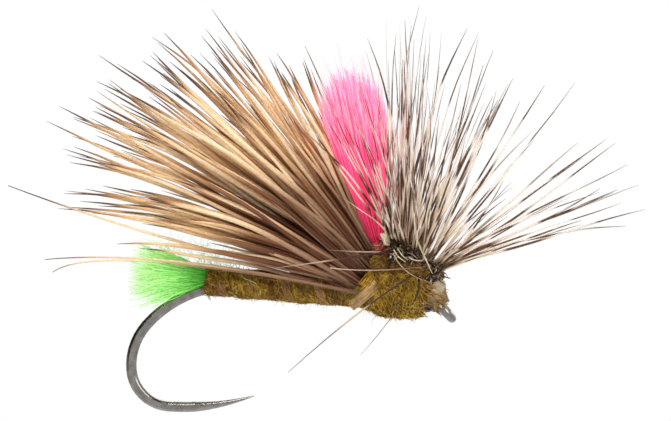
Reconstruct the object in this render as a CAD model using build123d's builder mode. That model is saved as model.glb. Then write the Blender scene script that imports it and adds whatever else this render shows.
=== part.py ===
from build123d import *
import math
import os
import random

# Dry fly on a barbless down-eye hook, size 12. Lengths are in millimetres.
# +X runs forward to the eye, +Y to the fly's left and +Z up. The origin is the centre of the eye.

# ---- Driving dimensions ----

wire_diameter = 0.48  # hook wire before forging
forged_width = 0.42  # across the flats of the bend
shank_height = 0.48  # shank axis above the centre of the eye
shank_front_x = -0.35
bend_start_x = -9.13
bend_arcs = [(5.34, 52.3), (2.78, 45.6), (1.79, 81.8)]  # radius, turn in degrees
forging_start_x = bend_start_x - 0.9
forging_block = (8.0, 0.5, 8.0)  # size of the block that presses each flat
forging_block_z = -1.5
spear_radius, spear_turn = 10.1, 22.3
spear_shoulder_turn = 7.0  # the part of the spear's turn before the point narrows
point_diameter = 0.05

eye_wire_diameter = 0.38
eye_ring_radius = 0.52  # to the middle of the eye's wire
eye_hole_radius = 0.345
eye_droop = 45.0  # degrees down from the shank

underbody_radius = 0.30
underbody_x = (-9.0, -1.0)  # rear and front ends
underbody_turns = 20
groove_depth = 0.015  # between neighbouring turns
tuft_tie_x = (-10.45, -9.35)
tuft_tie_radius = (0.36, 0.48)  # inner and outer

body_height = 0.56  # axis of the wound body, a little above the shank
abdomen_x = (-10.9, -4.0)
abdomen_radius = (0.57, 0.66)  # rear and front
rib_width, rib_thickness = 0.36, 0.10
rib_pitch = 1.5
rib_x = (-10.2, -4.9)
rib_clearance = 0.03

# Rear face of the thorax, a slanting plane where the wing hair leaves the body.
wing_face_foot = (-4.15, 0.55)  # X and Z
wing_face_top = (-3.45, 2.60)

post_foot = Vector(-3.12, 0, 2.80)
post_top = Vector(-5.10, 0, 10.35)
post_root_radius = 0.24
post_top_radius = 1.35

loop_rear = Vector(-2.78, 0, 3.09)
loop_front = Vector(-0.45, 0, 1.72)
loop_radius = 0.10
quill_radius = 0.07
quill_turns = 8
barb_root_radius = 0.030
barb_tip_radius = 0.008

hair_root_radius = 0.036
hair_widest_radius = 0.085
hair_tip_radius = 0.012
hair_widest_at = 0.22  # share of the hair's length
fibre_sides = 6

# ---- Helpers ----

shade = random.Random(12)  # natural unevenness of hair, the same on each run


def about(value, share):
    """The value, up to that share more or less."""
    return value * (1 + share * shade.uniform(-1, 1))


def between(low, high, share):
    """The value that lies that share of the way from low to high."""
    return low + (high - low) * share


def spread(count, low=0.0, high=1.0):
    """Evenly spaced values from low to high."""
    return [between(low, high, n / (count - 1)) for n in range(count)]


def heading(elevation, side):
    """Unit vector at an elevation from +X in the XZ plane, turned out sideways, in degrees."""
    up, out = math.radians(elevation), math.radians(side)
    return Vector(math.cos(up) * math.cos(out), math.sin(out), math.sin(up) * math.cos(out))


def taper_of(start_radius, end_radius, length):
    """Taper angle in degrees of a prism that goes from one radius to the other over that length."""
    flat_share = math.cos(math.pi / fibre_sides)
    return math.degrees(math.atan((start_radius - end_radius) * flat_share / length))


def add_fibre(root, direction, length, root_radius, tip_radius):
    """Adds one straight six-sided fibre, which tapers or flares evenly, to the part being built."""
    with BuildSketch(Plane(origin=root, z_dir=direction)) as section:
        RegularPolygon(root_radius, fibre_sides)
    extrude(section.sketch, amount=length, taper=taper_of(root_radius, tip_radius, length))


def add_rod(start, end, radius):
    """Adds one straight round rod to the part being built."""
    with Locations(Plane(origin=start, z_dir=end - start).location):
        Cylinder(radius, (end - start).length, align=(Align.CENTER, Align.CENTER, Align.MIN))


def add_hair(root, direction, length):
    """Adds one wing hair, which swells from its root and then tapers to a fine tip."""
    widest = length * hair_widest_at
    add_fibre(root, direction, widest, hair_root_radius, hair_widest_radius)
    add_fibre(root + direction * widest, direction, length - widest, hair_widest_radius, hair_tip_radius)


def save(piece, label):
    """Labels a finished piece and writes it as its own STEP file."""
    piece.part.label = label
    export_step(piece.part, f"parts/{label}.step")


os.makedirs("parts", exist_ok=True)

# ---- Hook ----

wire_radius = wire_diameter / 2
eye_axis = Vector(math.sin(math.radians(eye_droop)), 0, math.cos(math.radians(eye_droop)))
eye_plane = Plane(origin=(0, 0, 0), x_dir=(0, 1, 0), z_dir=eye_axis)

with BuildLine(Plane.XZ) as bend_line:
    run = Line((shank_front_x, shank_height), (bend_start_x, shank_height))
    for arc_radius, arc_turn in bend_arcs:
        run = JernArc(start=run @ 1, tangent=run % 1, radius=arc_radius, arc_size=arc_turn)
    shoulder = JernArc(
        start=run @ 1, tangent=run % 1, radius=spear_radius, arc_size=spear_shoulder_turn
    )
with BuildLine(Plane.XZ) as point_line:
    JernArc(
        start=shoulder @ 1,
        tangent=shoulder % 1,
        radius=spear_radius,
        arc_size=spear_turn - spear_shoulder_turn,
    )
point_start = point_line.line @ 0
point_end = point_line.line @ 1

with BuildPart() as hook:
    with BuildSketch(Plane(origin=bend_line.line @ 0, z_dir=bend_line.line % 0)):
        Circle(wire_radius)
    sweep(path=bend_line.line)
    with BuildSketch(Plane(origin=point_start, x_dir=(0, 1, 0), z_dir=point_line.line % 0)) as thick:
        Circle(wire_radius)
    with BuildSketch(Plane(origin=point_end, x_dir=(0, 1, 0), z_dir=point_line.line % 1)) as thin:
        Circle(point_diameter / 2)
    sweep(sections=[thick.sketch, thin.sketch], path=point_line.line, multisection=True)
    # forging presses the bend and the spear flat on both sides
    for side in (-1, 1):
        block_y = side * (forged_width + forging_block[1]) / 2
        with Locations((forging_start_x, block_y, forging_block_z)):
            Box(*forging_block, align=(Align.MAX, Align.CENTER, Align.CENTER), mode=Mode.SUBTRACT)
    with Locations(eye_plane.location):
        Torus(eye_ring_radius, eye_wire_diameter / 2)
        Cylinder(eye_hole_radius, eye_wire_diameter, mode=Mode.SUBTRACT)
save(hook, "hook")

# ---- Thread underbody, close turns along the shank ----


def turns_outline(ends, turns, inner, outer):
    """Closed outline of close thread turns: X and height above the axis, with a groove between turns."""
    turn_width = (ends[1] - ends[0]) / turns
    outline = [(ends[0], inner)]
    for turn in range(turns):
        turn_start = ends[0] + turn * turn_width
        outline.append((turn_start, outer - groove_depth))
        outline.append((turn_start + groove_depth, outer))
        outline.append((turn_start + turn_width - groove_depth, outer))
    return outline + [(ends[1], outer - groove_depth), (ends[1], inner)]


def add_turns(ends, turns, inner, outer, height):
    """Adds close thread turns round an axis along X at that height to the part being built."""
    with BuildSketch(Plane.XZ) as half_section:
        with BuildLine():
            Polyline(
                *[(x, height + radius) for x, radius in turns_outline(ends, turns, inner, outer)],
                close=True,
            )
        make_face()
    revolve(half_section.sketch, axis=Axis((0, 0, height), (1, 0, 0)))


with BuildPart() as thread_underbody:
    add_turns(underbody_x, underbody_turns, wire_radius, underbody_radius, shank_height)
save(thread_underbody, "thread_underbody")

# ---- Green butt tuft and the wraps that hold it ----

tuft_face_x = -10.98
tuft_rows, tuft_columns = 5, 5
tuft_root_height = (0.58, 1.12)  # lowest and highest row
tuft_root_half_width = 0.34
tuft_elevation = (192, 156)  # lowest and highest row
tuft_side = 26  # degrees out to either side
tuft_lock_length, tuft_unevenness = 3.0, 0.12
tuft_lock_radius = (0.045, 0.11)  # root and tip
tuft_tie_turns = 3

with BuildPart() as butt_tuft:
    for row in spread(tuft_rows):
        for column in spread(tuft_columns, -1, 1):
            lock_root = Vector(tuft_face_x, tuft_root_half_width * column, between(*tuft_root_height, row))
            lock_heading = heading(between(*tuft_elevation, row), tuft_side * column)
            add_fibre(lock_root, lock_heading, about(tuft_lock_length, tuft_unevenness), *tuft_lock_radius)
save(butt_tuft, "butt_tuft")

with BuildPart() as butt_tie_thread:
    add_turns(tuft_tie_x, tuft_tie_turns, *tuft_tie_radius, body_height)
    add(hook.part, mode=Mode.SUBTRACT)
save(butt_tie_thread, "butt_tie_thread")

# ---- Abdomen of dubbed fur, with its rib ----


def abdomen_radius_at(x):
    """Radius of the abdomen's cone at a place along it."""
    share = (x - abdomen_x[0]) / (abdomen_x[1] - abdomen_x[0])
    return between(*abdomen_radius, share)


wing_face = Plane(
    origin=(wing_face_foot[0], 0, wing_face_foot[1]),
    x_dir=(wing_face_top[0] - wing_face_foot[0], 0, wing_face_top[1] - wing_face_foot[1]),
    z_dir=(wing_face_foot[1] - wing_face_top[1], 0, wing_face_top[0] - wing_face_foot[0]),
)
fit_gap = 0.01  # between the fur and what it is wound over
underbody_cavity = underbody_radius + fit_gap
rear_end_radius = 0.30  # flat rear end, before the rounding up to the abdomen's cone
rear_end_bulge = (0.07, 0.49)  # a point on the rounding: X from the end, radius
rear_end_length = 0.25


def cut_cavity(start_x, length, height, radius):
    """Cuts a round cavity along X from the fur being built."""
    with Locations(Plane(origin=(start_x, 0, height), z_dir=(1, 0, 0)).location):
        Cylinder(radius, length, align=(Align.CENTER, Align.CENTER, Align.MIN), mode=Mode.SUBTRACT)


with BuildPart() as abdomen_dubbing:
    with BuildSketch(Plane.XZ):
        with BuildLine():
            rear_x, front_x = abdomen_x
            rear_rim_x = rear_x + rear_end_length
            rear_rim = (rear_rim_x, body_height + abdomen_radius_at(rear_rim_x))
            front_rim = (front_x, body_height + abdomen_radius[1])
            rear_edge = (rear_x, body_height + rear_end_radius)
            Line((front_x, body_height), (rear_x, body_height))
            Line((rear_x, body_height), rear_edge)
            ThreePointArc(
                rear_edge,
                (rear_x + rear_end_bulge[0], body_height + rear_end_bulge[1]),
                rear_rim,
            )
            Line(rear_rim, front_rim)
            Line(front_rim, (front_x, body_height))
        make_face()
    revolve(axis=Axis((0, 0, body_height), (1, 0, 0)))
    cut_cavity(underbody_x[0] - fit_gap, abdomen_x[1] - underbody_x[0] + 1, shank_height, underbody_cavity)
    cut_cavity(
        tuft_tie_x[0] - fit_gap,
        tuft_tie_x[1] - tuft_tie_x[0] + 2 * fit_gap,
        body_height,
        tuft_tie_radius[1] + fit_gap,
    )
    add(hook.part, mode=Mode.SUBTRACT)
save(abdomen_dubbing, "abdomen_dubbing")

rib_slope = math.degrees(
    math.atan((abdomen_radius[1] - abdomen_radius[0]) / (abdomen_x[1] - abdomen_x[0]))
)
rib_start_radius = abdomen_radius_at(rib_x[0]) + rib_clearance + rib_thickness / 2

with BuildPart() as rib_thread:
    with BuildLine() as rib_line:
        Helix(
            pitch=rib_pitch,
            height=rib_x[1] - rib_x[0],
            radius=rib_start_radius,
            center=(rib_x[0], 0, body_height),
            direction=(1, 0, 0),
            cone_angle=rib_slope,
        )
    rib_start = rib_line.line @ 0
    outward = rib_start - Vector(rib_x[0], 0, body_height)
    with BuildSketch(Plane(origin=rib_start, x_dir=outward, z_dir=rib_line.line % 0)):
        Rectangle(rib_thickness, rib_width)
    sweep(path=rib_line.line, is_frenet=True)
save(rib_thread, "rib_thread")

# ---- Wing: bound butts, thread band and the fan of hair ----

wing_butts_centre = Vector(-3.40, 0, 1.45)
wing_butts_length, wing_butts_radius = 0.76, 0.36
wing_butts_chamfer = 0.14

with BuildPart() as wing_butts:
    with Locations(Plane(origin=wing_butts_centre, z_dir=(1, 0, 0)).location):
        Cylinder(wing_butts_radius, wing_butts_length)
    chamfer(wing_butts.edges().filter_by(GeomType.CIRCLE), wing_butts_chamfer)
save(wing_butts, "wing_butts")

tie_radius = (0.71, 0.80)  # inner and outer
tie_centre = Vector(-3.59, 0, body_height)
tie_slant = 45.0
tie_width = 0.40
tie_tube_length, tie_slab = 4, 6  # both reach past the band on every side
tie_axis = Vector(math.cos(math.radians(tie_slant)), 0, -math.sin(math.radians(tie_slant)))

with BuildPart() as wing_tie_thread:
    with Locations(Plane(origin=tie_centre, z_dir=(1, 0, 0)).location):
        Cylinder(tie_radius[1], tie_tube_length)
        Cylinder(tie_radius[0], tie_tube_length, mode=Mode.SUBTRACT)
    with Locations(Plane(origin=tie_centre, x_dir=(0, 1, 0), z_dir=tie_axis).location):
        Box(tie_slab, tie_slab, tie_width, mode=Mode.INTERSECT)
save(wing_tie_thread, "wing_tie_thread")

fan_rows = 12
fan_columns = 8
fan_elevation = (176.5, 117)  # lowest and highest hair
fan_side = 25  # degrees out to either side
fan_length = (14.6, 10.6)
fan_length_falloff = 1.5  # the lengths fall faster towards the top of the fan
fan_shortest = 0.78  # share of the full length
face_gap = 0.03  # between the thorax and the hair roots
fan_foot = 0.82  # distance up the wing face to the lowest row
fan_top = 2.12
fan_half_width = 0.60
long_hairs = {(1, 3): 16.4, (2, 5): 15.6}  # length of the hairs in these rows and columns


def face_point(up, side):
    """A point just behind the wing face, a distance up it and out to the side."""
    return wing_face.from_local_coords(Vector(up, 0, face_gap)) + Vector(0, side, 0)


def add_fan_row(row):
    """Adds one row of wing hair, counted from the lowest."""
    share = row / (fan_rows - 1)
    for column, across in enumerate(spread(fan_columns, -1, 1)):
        hair_root = face_point(between(fan_foot, fan_top, share), fan_half_width * across)
        hair_heading = heading(between(*fan_elevation, share) + shade.uniform(-1, 1), fan_side * across)
        length = between(*fan_length, share**fan_length_falloff) * shade.uniform(fan_shortest, 1.0)
        add_hair(hair_root, hair_heading, long_hairs.get((row, column), length))


fan_layers = {"wing_hair_rear": (0, 4), "wing_hair_middle": (4, 8), "wing_hair_upper": (8, 12)}
for layer, rows in fan_layers.items():
    with BuildPart() as wing_hair:
        for fan_row in range(*rows):
            add_fan_row(fan_row)
    save(wing_hair, layer)

flank_rows = 4
flank_foot, flank_top = 0.05, 0.60  # distances up the wing face
flank_elevation = (180.5, 177)
flank_columns = [(0.84, 3), (1.01, 8)]  # distance out and degrees outwards
flank_length, flank_shortest = 13.2, 0.7
for flank, out in (("wing_hair_flank_right", -1), ("wing_hair_flank_left", 1)):
    with BuildPart() as wing_hair:
        for row in spread(flank_rows):
            for root_side, outward_angle in flank_columns:
                hair_root = face_point(between(flank_foot, flank_top, row), out * root_side)
                hair_heading = heading(between(*flank_elevation, row), out * outward_angle)
                add_hair(hair_root, hair_heading, flank_length * shade.uniform(flank_shortest, 1.0))
    save(wing_hair, flank)

# single long hairs below the fan: distance up the face, side, elevation, outward angle and length
stray_hairs = [
    (0.68, -0.62, 178.4, -1.0, 14.2),
    (0.68, 0.62, 178.0, 1.0, 13.6),
]
with BuildPart() as wing_stray_hairs:
    for up, side, elevation, outward_angle, length in stray_hairs:
        add_hair(face_point(up, side), heading(elevation, outward_angle), length)
save(wing_stray_hairs, "wing_stray_hairs")

# ---- Pink post and the wraps at its foot ----

post_heading = (post_top - post_foot).normalized()
post_length = (post_top - post_foot).length
post_bound_foot = Vector(-2.58, 0, 0.98)
post_bound_radius = 0.14
post_gap = 0.05  # between the bound root and the locks
post_shortest, post_longest = 0.90, 1.02  # shares of the post's length
lock_rings = 3  # round the middle lock, with 6 locks in the first ring, 12 in the next and so on
lock_root_radius, lock_tip_radius = 0.030, 0.16

post_across = Vector(0, 1, 0)
post_along = post_across.cross(post_heading)

with BuildPart() as post_yarn:
    add_rod(post_bound_foot, post_foot - post_heading * post_gap, post_bound_radius)
    for ring in range(lock_rings + 1):
        locks = max(6 * ring, 1)
        for lock in range(locks):
            angle = 2 * math.pi * lock / locks
            radial = (post_across * math.cos(angle) + post_along * math.sin(angle)) * ring / lock_rings
            lock_root = post_foot + radial * (post_root_radius - lock_root_radius)
            lock_length = post_length * shade.uniform(post_shortest, post_longest)
            lock_tip = post_foot + post_heading * lock_length
            lock_tip += radial * (post_top_radius - lock_tip_radius)
            add_fibre(lock_root, lock_tip - lock_root, lock_length, lock_root_radius, lock_tip_radius)
save(post_yarn, "post_yarn")

post_wraps = 3
post_wrap_radius = 0.0612
post_wrap_pitch = 0.12  # a little less than a wrap's width, so that the wraps join
post_wrap_ring_radius = post_root_radius + 0.05
first_wrap_depth = 0.04  # below the foot of the locks
with BuildPart() as post_base_thread:
    for wrap in range(post_wraps):
        wrap_centre = post_foot - post_heading * (first_wrap_depth + post_wrap_pitch * wrap)
        with Locations(Plane(origin=wrap_centre, z_dir=post_heading).location):
            Torus(post_wrap_ring_radius, post_wrap_radius)
save(post_base_thread, "post_base_thread")

# ---- Hackle: a feather wound on a loop that lies over the thorax ----

loop_heading = (loop_front - loop_rear).normalized()
loop_length = (loop_front - loop_rear).length
loop_up = Vector(-loop_heading.Z, 0, loop_heading.X)
winding_radius = loop_radius + quill_radius + 0.01

with BuildPart() as hackle_loop:
    add_rod(loop_rear, loop_front, loop_radius)
save(hackle_loop, "hackle_loop")

quill_inset = 0.15
with BuildPart() as hackle_quill:
    with BuildLine() as quill_line:
        Helix(
            pitch=(loop_length - 2 * quill_inset) / quill_turns,
            height=loop_length - 2 * quill_inset,
            radius=winding_radius,
            center=loop_rear + loop_heading * quill_inset,
            direction=loop_heading,
        )
    with BuildSketch(Plane(origin=quill_line.line @ 0, z_dir=quill_line.line % 0)):
        RegularPolygon(quill_radius, fibre_sides)
    sweep(path=quill_line.line, is_frenet=True)
save(hackle_quill, "hackle_quill")

stem_butt_gap = 0.04
stem_butt_heading = heading(128, -8)
stem_butt_length = 0.55
stem_butt_radius = (0.13, 0.07)  # root and cut end
with BuildPart() as hackle_stem_butt:
    stem_butt_root = loop_rear - loop_heading * stem_butt_gap
    add_fibre(stem_butt_root, stem_butt_heading, stem_butt_length, *stem_butt_radius)
save(hackle_stem_butt, "hackle_stem_butt")

barbs = 90
barb_stand_off = winding_radius + quill_radius + 0.02
barb_lean = (60, -40)  # rear barbs lean back, front barbs lean forward
barb_side = 76
barb_length = (8.6, 11.0)
barb_side_shortening = 0.30  # barbs that stand straight out sideways are shorter by this share
winding_share = (0.06, 0.96)  # part of the loop that carries barbs
post_guard_side, post_guard_lean = 27, 30  # barbs close behind the post stand clear of it
golden_share = (math.sqrt(5) - 1) / 2


def add_barb(number):
    """Adds one hackle barb, counted from the rear of the winding."""
    along = (number + 0.5) / barbs
    side = between(-barb_side, barb_side, (number * golden_share) % 1)
    lean = between(*barb_lean, along) + shade.uniform(-4, 4)
    if abs(side) < post_guard_side:
        lean = min(lean, post_guard_lean)
    lean, side = math.radians(lean), math.radians(side)
    winding_point = loop_rear + loop_heading * between(*winding_share, along) * loop_length
    radial = loop_up * math.cos(side) + Vector(0, math.sin(side), 0)
    leaning = loop_up * math.cos(lean) - loop_heading * math.sin(lean)
    barb_heading = leaning * math.cos(side) + Vector(0, math.sin(side), 0)
    length = shade.uniform(*barb_length) * (1 - barb_side_shortening * math.sin(side) ** 2)
    barb_root = winding_point + radial * barb_stand_off
    add_fibre(barb_root, barb_heading, length, barb_root_radius, barb_tip_radius)


barb_groups = ("hackle_barbs_rear", "hackle_barbs_middle", "hackle_barbs_front")
group_size = barbs // len(barb_groups)
for group, group_name in enumerate(barb_groups):
    with BuildPart() as hackle_barbs:
        for barb in range(group * group_size, (group + 1) * group_size):
            add_barb(barb)
    save(hackle_barbs, group_name)

# barbs that escaped downwards past the thorax: root and tip
stray_barbs = [
    (Vector(-2.00, -1.30, 0.90), Vector(-6.85, -3.30, -2.90)),
    (Vector(-1.70, 1.25, 0.60), Vector(-3.60, 2.40, -2.60)),
]
with BuildPart() as hackle_stray_barbs:
    for root, tip in stray_barbs:
        add_fibre(root, tip - root, (tip - root).length, barb_root_radius, barb_tip_radius)
save(hackle_stray_barbs, "hackle_stray_barbs")

# ---- Head: collar wraps over a whip-finished thread cone ----

collar_centre = Vector(-0.52, 0, 0.68)
collar_tilt = 28.0
collar_ring_radius = 0.72
collar_section = (0.13, 0.21)  # half thickness, half width
collar_axis = Vector(math.cos(math.radians(collar_tilt)), 0, -math.sin(math.radians(collar_tilt)))
collar_plane = Plane(origin=collar_centre, x_dir=(0, 1, 0), z_dir=collar_axis)

with BuildPart() as head_collar_thread:
    with BuildSketch(Plane(origin=collar_centre, x_dir=(0, 1, 0), z_dir=Vector(0, 1, 0).cross(collar_axis))):
        with Locations((collar_ring_radius, 0)):
            Ellipse(*collar_section)
    revolve(axis=Axis(collar_centre, collar_axis))
save(head_collar_thread, "head_collar_thread")

head_profile = [(-0.98, 0.55), (-0.85, 0.64), (-0.50, 0.62), (-0.30, 0.52), (-0.14, 0.38)]  # X, radius
eye_clearance = 0.04
eye_down = Vector(eye_axis.Z, 0, -eye_axis.X)  # from the shank's end across the eye
head_front = Plane(origin=-eye_down * (eye_hole_radius + eye_clearance), z_dir=eye_down)

with BuildPart() as head_thread:
    with BuildSketch(Plane.XZ):
        with BuildLine():
            Polyline(
                *[(x, shank_height + radius) for x, radius in head_profile],
                (head_profile[-1][0], shank_height),
                (head_profile[0][0], shank_height),
                close=True,
            )
        make_face()
    revolve(axis=Axis((0, 0, shank_height), (1, 0, 0)))
    split(bisect_by=head_front, keep=Keep.BOTTOM)
    add(hook.part, mode=Mode.SUBTRACT)
    add(thread_underbody.part, mode=Mode.SUBTRACT)
    add(head_collar_thread.part, mode=Mode.SUBTRACT)
save(head_thread, "head_thread")

# ---- Thorax of dubbed fur ----

# X, bottom, top and half width of each cross-section
thorax_sections = [
    (abdomen_x[1] + 0.02, -0.10, 1.22, 0.66),
    (-3.40, -0.18, 1.80, 0.78),
    (-2.85, -0.36, 2.20, 0.95),
    (-2.20, -0.45, 1.95, 1.00),
    (-1.55, -0.42, 1.62, 0.92),
    (-1.00, -0.30, 1.30, 0.74),
]

with BuildPart() as thorax_dubbing:
    for section_x, bottom, top, half_width in thorax_sections:
        middle = Vector(section_x, 0, (bottom + top) / 2)
        with BuildSketch(Plane(origin=middle, x_dir=(0, 1, 0), z_dir=(1, 0, 0))):
            Ellipse(half_width, (top - bottom) / 2)
    loft()
    split(bisect_by=wing_face, keep=Keep.BOTTOM)
    cut_cavity(abdomen_x[1], -abdomen_x[1], shank_height, underbody_cavity)
    for buried in (wing_butts, wing_tie_thread, post_yarn, post_base_thread, head_collar_thread, head_thread):
        add(buried.part, mode=Mode.SUBTRACT)
save(thorax_dubbing, "thorax_dubbing")
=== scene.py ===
import math

import bpy
import numpy as np
from mathutils import Matrix, Vector, noise


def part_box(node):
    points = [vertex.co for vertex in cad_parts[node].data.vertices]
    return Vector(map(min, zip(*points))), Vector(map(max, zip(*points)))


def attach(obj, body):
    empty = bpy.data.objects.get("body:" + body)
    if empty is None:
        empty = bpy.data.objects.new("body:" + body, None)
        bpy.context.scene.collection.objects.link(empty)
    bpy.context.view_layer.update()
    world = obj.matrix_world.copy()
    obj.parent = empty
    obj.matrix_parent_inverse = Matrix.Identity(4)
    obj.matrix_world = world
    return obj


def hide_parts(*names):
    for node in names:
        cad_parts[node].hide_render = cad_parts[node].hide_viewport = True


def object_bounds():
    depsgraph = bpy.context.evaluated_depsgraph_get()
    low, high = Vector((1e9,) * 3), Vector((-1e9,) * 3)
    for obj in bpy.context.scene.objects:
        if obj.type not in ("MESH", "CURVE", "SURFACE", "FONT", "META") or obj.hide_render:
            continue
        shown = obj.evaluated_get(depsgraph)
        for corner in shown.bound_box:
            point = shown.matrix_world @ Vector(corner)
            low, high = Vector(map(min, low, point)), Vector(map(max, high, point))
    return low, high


# A dry fly seen from its right side. +X runs to the hook's eye, +Y to the fly's left and +Z up.
# Lengths are in millimetres until a mesh is made, but the floor, lights and camera are in metres.

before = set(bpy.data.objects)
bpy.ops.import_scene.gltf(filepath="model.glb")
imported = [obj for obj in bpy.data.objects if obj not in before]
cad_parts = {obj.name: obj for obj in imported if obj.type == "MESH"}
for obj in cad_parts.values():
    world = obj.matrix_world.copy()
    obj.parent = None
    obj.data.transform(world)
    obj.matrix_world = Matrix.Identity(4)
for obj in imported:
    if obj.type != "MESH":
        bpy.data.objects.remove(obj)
cad_low, cad_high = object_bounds()

MM = 0.001
TINY = 1e-12  # keeps a division from failing
FULL_TURN = 2 * math.pi
AHEAD = np.array((1.0, 0.0, 0.0))  # towards the eye
LEFT = np.array((0.0, 1.0, 0.0))
UP = np.array((0.0, 0.0, 1.0))
chance = np.random.default_rng(12)  # seeded, so that each run is the same

scene = bpy.context.scene


# ---- Points and paths ----


def spot(node, share_x, share_y, share_z):
    """A point at those shares of a CAD node's box, from its lowest to its highest corner."""
    low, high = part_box(node)
    share = np.array((share_x, share_y, share_z))
    return (np.array(low) * (1 - share) + np.array(high) * share) / MM


def unit(vectors):
    """The vectors, each made one long."""
    return vectors / np.maximum(np.linalg.norm(vectors, axis=-1, keepdims=True), TINY)


def between(low, high, share):
    """The value that lies that share of the way from low to high."""
    return low + (high - low) * share


def heading(elevation, side):
    """Unit vectors at an elevation from +X in the XZ plane, turned out sideways, in degrees."""
    up, out = np.radians(elevation), np.radians(side)
    return np.stack((np.cos(up) * np.cos(out), np.sin(out) + 0 * up, np.sin(up) * np.cos(out)), axis=-1)


def tilted(degrees):
    """The body's own direction, +X, raised by that many degrees."""
    return np.array((math.cos(math.radians(degrees)), 0.0, math.sin(math.radians(degrees))))


def turned(angles, first, second):
    """The first direction, turned by each angle towards the second."""
    return np.cos(angles)[..., None] * first + np.sin(angles)[..., None] * second


def any_direction(count):
    """Unit vectors in all directions."""
    return unit(chance.normal(size=(count, 3)))


def curling_paths(roots, headings, lengths, bends, steps, wobble=0.0, bend_axis=None):
    """Paths that start along their headings and turn evenly by their bend, in degrees, as they grow.
    The wobble, in radians, adds slow waves that differ from path to path."""
    count = len(lengths)
    axis = any_direction(count) if bend_axis is None else np.broadcast_to(bend_axis, (count, 3))
    axis = unit(axis - headings * np.sum(axis * headings, axis=1, keepdims=True))
    across = np.cross(axis, headings)
    grown = np.linspace(0, 1, steps)
    phase = chance.uniform(0, FULL_TURN, (count, 1))
    waves = chance.uniform(1.0, 2.5, (count, 1))
    swing = wobble * (np.sin(FULL_TURN * waves * grown + phase) - np.sin(phase))
    turn = np.radians(bends)[:, None] * grown + swing
    sway = 0.6 * wobble * np.sin(FULL_TURN * waves * grown * 0.7 + 2 * phase) * grown
    direction = headings[:, None] * np.cos(turn)[..., None] + across[:, None] * np.sin(turn)[..., None]
    direction = unit(direction + axis[:, None] * sway[..., None])
    middles = (direction[:, 1:] + direction[:, :-1]) / 2
    strides = middles * (lengths / (steps - 1))[:, None, None]
    travelled = np.concatenate((np.zeros((count, 1, 3)), np.cumsum(strides, axis=1)), axis=1)
    return roots[:, None] + travelled


def wound_path(origin, axis, start_side, angles, distances, radii):
    """Points round an axis at those angles, distances along it and radii."""
    side = unit(start_side - axis * np.dot(start_side, axis))
    other = np.cross(axis, side)
    return origin + axis * distances[:, None] + turned(angles, side, other) * radii[:, None]


# ---- Meshes ----


def tube_mesh(name, paths, radii, sides, tones=None, reference=None, flatness=1.0):
    """One mesh of closed tubes along the paths. It keeps how far along its tube each point is,
    and each tube's tone, for the material to use. Tones are random unless they are given."""
    count, steps = paths.shape[:2]
    radii = np.broadcast_to(radii, (count, steps))
    tones = chance.random(count) if tones is None else tones
    tangents = unit(np.gradient(paths, axis=1))
    if reference is None:
        overall = np.abs(unit(paths[:, -1] - paths[:, 0]))
        reference = np.eye(3)[np.argmin(overall, axis=1)][:, None]
    sideways = unit(np.cross(tangents, reference))
    outward = np.cross(sideways, tangents) * flatness
    angles = FULL_TURN * np.arange(sides) / sides
    ring = np.cos(angles)[:, None] * sideways[:, :, None] + np.sin(angles)[:, None] * outward[:, :, None]
    corners = paths[:, :, None] + radii[:, :, None, None] * ring
    index = np.arange(count * steps * sides).reshape(count, steps, sides)
    near, far = index[:, :-1], index[:, 1:]
    walls = np.stack((near, far, np.roll(far, -1, axis=2), np.roll(near, -1, axis=2)), axis=-1)
    faces = walls.reshape(-1, 4).tolist() + index[:, 0].tolist() + index[:, -1, ::-1].tolist()
    mesh = bpy.data.meshes.new(name)
    mesh.from_pydata((corners * MM).reshape(-1, 3).tolist(), [], faces)
    along = np.broadcast_to(np.linspace(0, 1, steps)[None, :, None], (count, steps, sides))
    tone = np.broadcast_to(np.asarray(tones, float)[:, None, None], (count, steps, sides))
    for attribute, values in (("along", along), ("tone", tone)):
        layer = mesh.attributes.new(attribute, "FLOAT", "POINT")
        layer.data.foreach_set("value", values.astype(np.float32).ravel())
    mesh.shade_smooth()
    return mesh


# How thick a strand is from its root to its end, as (share of its length, share of its radius).
LAID = [(0, 0.35), (0.3, 1), (0.7, 1), (1, 0.3)]
SPINDLE = [(0, 0.4), (0.5, 1), (1, 0.4)]
LOOSE = [(0, 1), (0.6, 0.8), (1, 0.3)]
TAPERED = [(0, 1), (0.6, 0.9), (1, 0.4)]
CUT_SHORT = [(0, 1), (0.6, 0.9), (1, 0.5)]
DOWNY = [(0, 1), (0.5, 0.9), (1, 0.3)]
LONG_STRAND = [(0, 1), (0.5, 0.85), (1, 0.2)]
WISP = [(0, 1), (1, 0.6)]
TUFT_YARN = [(0, 0.9), (0.6, 1), (1, 0.45)]
POST_YARN = [(0, 0.8), (0.7, 1), (1, 0.4)]
DEER_HAIR = [(0, 0.62), (0.15, 0.92), (0.35, 1.0), (0.62, 0.97), (0.8, 0.74), (0.92, 0.40), (1, 0.06)]
BARB = [(0, 0.8), (0.10, 1.0), (0.30, 0.9), (0.6, 0.66), (0.85, 0.44), (1, 0.10)]


def taper(profile, steps):
    """The shares of its thickness that a strand has along its length."""
    places, shares = zip(*profile)
    return np.interp(np.linspace(0, 1, steps), places, shares)


def strand_radii(size, count, profile, steps):
    """Radii along each strand. Each strand's own radius lies between the two of size."""
    return chance.uniform(*size, (count, 1)) * taper(profile, steps)


def add_piece(name, mesh, material, slot, *stands_for):
    """Puts a mesh in the scene, as a piece that rides on the fly."""
    piece = bpy.data.objects.new(name, mesh)
    scene.collection.objects.link(piece)
    mesh.materials.clear()
    mesh.materials.append(material)
    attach(piece, "root")
    if stands_for:
        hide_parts(*stands_for)


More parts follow.
